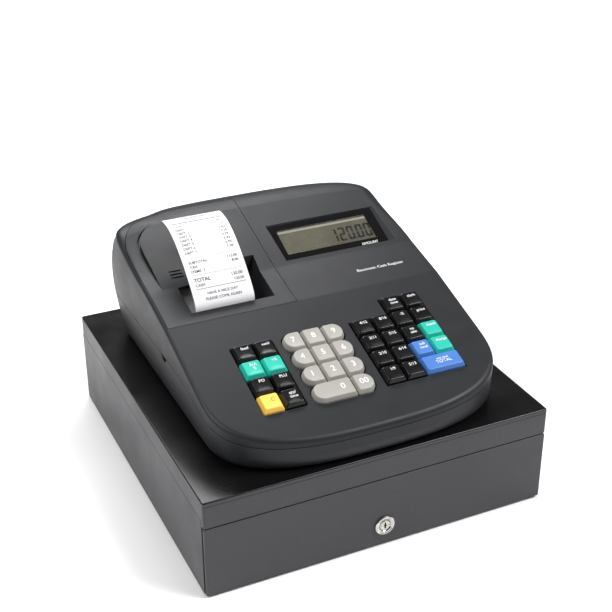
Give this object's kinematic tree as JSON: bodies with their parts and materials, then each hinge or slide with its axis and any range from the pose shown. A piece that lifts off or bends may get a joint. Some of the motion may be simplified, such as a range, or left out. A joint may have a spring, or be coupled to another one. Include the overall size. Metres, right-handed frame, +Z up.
{
  "type": "cash register",
  "caption": "Desk-top cash register: sloping keyboard and display head with receipt printer on a steel cash drawer that slides out.",
  "frame": {"origin": "under the middle of the object's bounding box, on the surface it stands on", "axes": "+X to the operator's right, +Y from the operator to the back, +Z up"},
  "size_m": [0.33, 0.352, 0.2316],
  "materials": {
    "cabinet_paint": "satin fine-textured powder coat",
    "lid_paint": "semi-gloss",
    "zinc_steel": "satin zinc plate",
    "till_plastic": "matt",
    "lock_chrome": "polished nickel",
    "lower_case_plastic": "fine moulded grain",
    "case_plastic": "fine moulded grain",
    "smoked_window": "gloss",
    "lcd_glass": "satin",
    "key_rubber": "matt",
    "circuit_board": "satin",
    "roller_rubber": "matt",
    "ink_felt": "matt",
    "receipt_stock": "smooth",
    "socket_plastic": "satin",
    "key_black": "gloss",
    "key_grey": "satin",
    "key_teal": "satin",
    "key_blue": "satin",
    "key_yellow": "satin"
  },
  "bodies": {
    "cabinet": {"cabinet_base": "cabinet_paint", "cabinet_lid": "lid_paint", "lower_case": "lower_case_plastic", "upper_case": "case_plastic", "display_window": "smoked_window", "lcd_panel": "lcd_glass", "key_mat": "key_rubber", "key_board": "circuit_board", "printer_frame": "zinc_steel", "power_inlet": "socket_plastic"},
    "drawer": {"drawer_front": "cabinet_paint", "drawer_box": "zinc_steel", "till_tray": "till_plastic", "lock_barrel": "lock_chrome"},
    "lock_cylinder": {"lock_plug": "lock_chrome"},
    "cover": {"printer_cover": "case_plastic", "receipt_paper": "receipt_stock"},
    "paper_supply": {"paper_roll": "receipt_stock"},
    "platen": {"platen_roller": "roller_rubber"},
    "inker": {"ink_roller": "ink_felt"},
    "note_arm_1": {"bill_clip_1": "till_plastic"},
    "note_arm_2": {"bill_clip_2": "till_plastic"},
    "note_arm_3": {"bill_clip_3": "till_plastic"},
    "note_arm_4": {"bill_clip_4": "till_plastic"},
    "key_feed": {"key_feed": "key_black"},
    "key_void": {"key_void": "key_black"},
    "key_rate_a": {"key_rate_a": "key_teal"},
    "key_rate_b": {"key_rate_b": "key_teal"},
    "key_po": {"key_po": "key_black"},
    "key_plu": {"key_plu": "key_black"},
    "key_clear": {"key_clear": "key_yellow"},
    "key_quantity": {"key_quantity": "key_black"},
    "key_7": {"key_7": "key_grey"},
    "key_8": {"key_8": "key_grey"},
    "key_9": {"key_9": "key_grey"},
    "key_4": {"key_4": "key_grey"},
    "key_5": {"key_5": "key_grey"},
    "key_6": {"key_6": "key_grey"},
    "key_1": {"key_1": "key_grey"},
    "key_2": {"key_2": "key_grey"},
    "key_3": {"key_3": "key_grey"},
    "key_0": {"key_0": "key_grey"},
    "key_00": {"key_00": "key_grey"},
    "key_date": {"key_date": "key_black"},
    "key_clerk": {"key_clerk": "key_black"},
    "key_dept_4": {"key_dept_4": "key_black"},
    "key_dept_8": {"key_dept_8": "key_black"},
    "key_percent": {"key_percent": "key_black"},
    "key_price": {"key_price": "key_black"},
    "key_dept_3": {"key_dept_3": "key_black"},
    "key_dept_7": {"key_dept_7": "key_black"},
    "key_no_sale": {"key_no_sale": "key_black"},
    "key_cheque": {"key_cheque": "key_teal"},
    "key_dept_2": {"key_dept_2": "key_black"},
    "key_dept_6": {"key_dept_6": "key_black"},
    "key_subtotal": {"key_subtotal": "key_blue"},
    "key_charge": {"key_charge": "key_teal"},
    "key_dept_1": {"key_dept_1": "key_black"},
    "key_dept_5": {"key_dept_5": "key_black"},
    "key_total": {"key_total": "key_blue"}
  },
  "joints": [
    {"name": "drawer_slide", "type": "slide", "parent": "cabinet", "child": "drawer", "axis": [0, -1, 0], "range_m": [0, 0.25]},
    {"name": "lock_turn", "type": "hinge", "parent": "drawer", "child": "lock_cylinder", "pos_m": [0.0015, -0.174, 0.022], "axis": [0, 1, 0], "range_deg": [0, 90]},
    {"name": "cover_lift", "type": "slide", "parent": "cabinet", "child": "cover", "axis": [0, 0, 1], "range_m": [0, 0.08]},
    {"name": "paper_roll_spin", "type": "hinge", "parent": "cabinet", "child": "paper_supply", "pos_m": [-0.0754, 0.088, 0.136], "axis": [1, 0, 0], "continuous": true},
    {"name": "platen_spin", "type": "hinge", "parent": "cabinet", "child": "platen", "pos_m": [-0.0754, 0.01, 0.148], "axis": [1, 0, 0], "continuous": true},
    {"name": "inker_spin", "type": "hinge", "parent": "cabinet", "child": "inker", "pos_m": [-0.0754, -0.006, 0.148], "axis": [1, 0, 0], "continuous": true},
    {"name": "note_arm_1_lift", "type": "hinge", "parent": "drawer", "child": "note_arm_1", "pos_m": [-0.11235, 0.129, 0.05], "axis": [-1, 0, 0], "range_deg": [0, 35], "stiffness_Nm_per_rad": 0.02, "springref_deg": -28.65},
    {"name": "note_arm_2_lift", "type": "hinge", "parent": "drawer", "child": "note_arm_2", "pos_m": [-0.03745, 0.129, 0.05], "axis": [-1, 0, 0], "range_deg": [0, 35], "stiffness_Nm_per_rad": 0.02, "springref_deg": -28.65},
    {"name": "note_arm_3_lift", "type": "hinge", "parent": "drawer", "child": "note_arm_3", "pos_m": [0.03745, 0.129, 0.05], "axis": [-1, 0, 0], "range_deg": [0, 35], "stiffness_Nm_per_rad": 0.02, "springref_deg": -28.65},
    {"name": "note_arm_4_lift", "type": "hinge", "parent": "drawer", "child": "note_arm_4", "pos_m": [0.11235, 0.129, 0.05], "axis": [-1, 0, 0], "range_deg": [0, 35], "stiffness_Nm_per_rad": 0.02, "springref_deg": -28.65},
    {"name": "key_feed_press", "type": "slide", "parent": "cabinet", "child": "key_feed", "axis": [0, 0.3007, -0.9537], "range_m": [0, 0.003], "stiffness_N_per_m": 250, "springref_m": -0.002},
    {"name": "key_void_press", "type": "slide", "parent": "cabinet", "child": "key_void", "axis": [0, 0.3007, -0.9537], "range_m": [0, 0.003], "stiffness_N_per_m": 250, "springref_m": -0.002},
    {"name": "key_rate_a_press", "type": "slide", "parent": "cabinet", "child": "key_rate_a", "axis": [0, 0.3007, -0.9537], "range_m": [0, 0.003], "stiffness_N_per_m": 250, "springref_m": -0.002},
    {"name": "key_rate_b_press", "type": "slide", "parent": "cabinet", "child": "key_rate_b", "axis": [0, 0.3007, -0.9537], "range_m": [0, 0.003], "stiffness_N_per_m": 250, "springref_m": -0.002},
    {"name": "key_po_press", "type": "slide", "parent": "cabinet", "child": "key_po", "axis": [0, 0.3007, -0.9537], "range_m": [0, 0.003], "stiffness_N_per_m": 250, "springref_m": -0.002},
    {"name": "key_plu_press", "type": "slide", "parent": "cabinet", "child": "key_plu", "axis": [0, 0.3007, -0.9537], "range_m": [0, 0.003], "stiffness_N_per_m": 250, "springref_m": -0.002},
    {"name": "key_clear_press", "type": "slide", "parent": "cabinet", "child": "key_clear", "axis": [0, 0.3007, -0.9537], "range_m": [0, 0.003], "stiffness_N_per_m": 250, "springref_m": -0.002},
    {"name": "key_quantity_press", "type": "slide", "parent": "cabinet", "child": "key_quantity", "axis": [0, 0.3007, -0.9537], "range_m": [0, 0.003], "stiffness_N_per_m": 250, "springref_m": -0.002},
    {"name": "key_7_press", "type": "slide", "parent": "cabinet", "child": "key_7", "axis": [0, 0.3007, -0.9537], "range_m": [0, 0.003], "stiffness_N_per_m": 250, "springref_m": -0.002},
    {"name": "key_8_press", "type": "slide", "parent": "cabinet", "child": "key_8", "axis": [0, 0.3007, -0.9537], "range_m": [0, 0.003], "stiffness_N_per_m": 250, "springref_m": -0.002},
    {"name": "key_9_press", "type": "slide", "parent": "cabinet", "child": "key_9", "axis": [0, 0.3007, -0.9537], "range_m": [0, 0.003], "stiffness_N_per_m": 250, "springref_m": -0.002},
    {"name": "key_4_press", "type": "slide", "parent": "cabinet", "child": "key_4", "axis": [0, 0.3007, -0.9537], "range_m": [0, 0.003], "stiffness_N_per_m": 250, "springref_m": -0.002},
    {"name": "key_5_press", "type": "slide", "parent": "cabinet", "child": "key_5", "axis": [0, 0.3007, -0.9537], "range_m": [0, 0.003], "stiffness_N_per_m": 250, "springref_m": -0.002},
    {"name": "key_6_press", "type": "slide", "parent": "cabinet", "child": "key_6", "axis": [0, 0.3007, -0.9537], "range_m": [0, 0.003], "stiffness_N_per_m": 250, "springref_m": -0.002},
    {"name": "key_1_press", "type": "slide", "parent": "cabinet", "child": "key_1", "axis": [0, 0.3007, -0.9537], "range_m": [0, 0.003], "stiffness_N_per_m": 250, "springref_m": -0.002},
    {"name": "key_2_press", "type": "slide", "parent": "cabinet", "child": "key_2", "axis": [0, 0.3007, -0.9537], "range_m": [0, 0.003], "stiffness_N_per_m": 250, "springref_m": -0.002},
    {"name": "key_3_press", "type": "slide", "parent": "cabinet", "child": "key_3", "axis": [0, 0.3007, -0.9537], "range_m": [0, 0.003], "stiffness_N_per_m": 250, "springref_m": -0.002},
    {"name": "key_0_press", "type": "slide", "parent": "cabinet", "child": "key_0", "axis": [0, 0.3007, -0.9537], "range_m": [0, 0.003], "stiffness_N_per_m": 250, "springref_m": -0.002},
    {"name": "key_00_press", "type": "slide", "parent": "cabinet", "child": "key_00", "axis": [0, 0.3007, -0.9537], "range_m": [0, 0.003], "stiffness_N_per_m": 250, "springref_m": -0.002},
    {"name": "key_date_press", "type": "slide", "parent": "cabinet", "child": "key_date", "axis": [0, 0.3007, -0.9537], "range_m": [0, 0.003], "stiffness_N_per_m": 250, "springref_m": -0.002},
    {"name": "key_clerk_press", "type": "slide", "parent": "cabinet", "child": "key_clerk", "axis": [0, 0.3007, -0.9537], "range_m": [0, 0.003], "stiffness_N_per_m": 250, "springref_m": -0.002},
    {"name": "key_dept_4_press", "type": "slide", "parent": "cabinet", "child": "key_dept_4", "axis": [0, 0.3007, -0.9537], "range_m": [0, 0.003], "stiffness_N_per_m": 250, "springref_m": -0.002},
    {"name": "key_dept_8_press", "type": "slide", "parent": "cabinet", "child": "key_dept_8", "axis": [0, 0.3007, -0.9537], "range_m": [0, 0.003], "stiffness_N_per_m": 250, "springref_m": -0.002},
    {"name": "key_percent_press", "type": "slide", "parent": "cabinet", "child": "key_percent", "axis": [0, 0.3007, -0.9537], "range_m": [0, 0.003], "stiffness_N_per_m": 250, "springref_m": -0.002},
    {"name": "key_price_press", "type": "slide", "parent": "cabinet", "child": "key_price", "axis": [0, 0.3007, -0.9537], "range_m": [0, 0.003], "stiffness_N_per_m": 250, "springref_m": -0.002},
    {"name": "key_dept_3_press", "type": "slide", "parent": "cabinet", "child": "key_dept_3", "axis": [0, 0.3007, -0.9537], "range_m": [0, 0.003], "stiffness_N_per_m": 250, "springref_m": -0.002},
    {"name": "key_dept_7_press", "type": "slide", "parent": "cabinet", "child": "key_dept_7", "axis": [0, 0.3007, -0.9537], "range_m": [0, 0.003], "stiffness_N_per_m": 250, "springref_m": -0.002},
    {"name": "key_no_sale_press", "type": "slide", "parent": "cabinet", "child": "key_no_sale", "axis": [0, 0.3007, -0.9537], "range_m": [0, 0.003], "stiffness_N_per_m": 250, "springref_m": -0.002},
    {"name": "key_cheque_press", "type": "slide", "parent": "cabinet", "child": "key_cheque", "axis": [0, 0.3007, -0.9537], "range_m": [0, 0.003], "stiffness_N_per_m": 250, "springref_m": -0.002},
    {"name": "key_dept_2_press", "type": "slide", "parent": "cabinet", "child": "key_dept_2", "axis": [0, 0.3007, -0.9537], "range_m": [0, 0.003], "stiffness_N_per_m": 250, "springref_m": -0.002},
    {"name": "key_dept_6_press", "type": "slide", "parent": "cabinet", "child": "key_dept_6", "axis": [0, 0.3007, -0.9537], "range_m": [0, 0.003], "stiffness_N_per_m": 250, "springref_m": -0.002},
    {"name": "key_subtotal_press", "type": "slide", "parent": "cabinet", "child": "key_subtotal", "axis": [0, 0.3007, -0.9537], "range_m": [0, 0.003], "stiffness_N_per_m": 250, "springref_m": -0.002},
    {"name": "key_charge_press", "type": "slide", "parent": "cabinet", "child": "key_charge", "axis": [0, 0.3007, -0.9537], "range_m": [0, 0.003], "stiffness_N_per_m": 250, "springref_m": -0.002},
    {"name": "key_dept_1_press", "type": "slide", "parent": "cabinet", "child": "key_dept_1", "axis": [0, 0.3007, -0.9537], "range_m": [0, 0.003], "stiffness_N_per_m": 250, "springref_m": -0.002},
    {"name": "key_dept_5_press", "type": "slide", "parent": "cabinet", "child": "key_dept_5", "axis": [0, 0.3007, -0.9537], "range_m": [0, 0.003], "stiffness_N_per_m": 250, "springref_m": -0.002},
    {"name": "key_total_press", "type": "slide", "parent": "cabinet", "child": "key_total", "axis": [0, 0.3007, -0.9537], "range_m": [0, 0.003], "stiffness_N_per_m": 250, "springref_m": -0.002}
  ],
  "couplings": [
    {"joint": "platen_spin", "follows": "paper_roll_spin", "ratio": 3},
    {"joint": "inker_spin", "follows": "paper_roll_spin", "ratio": -4}
  ]
}
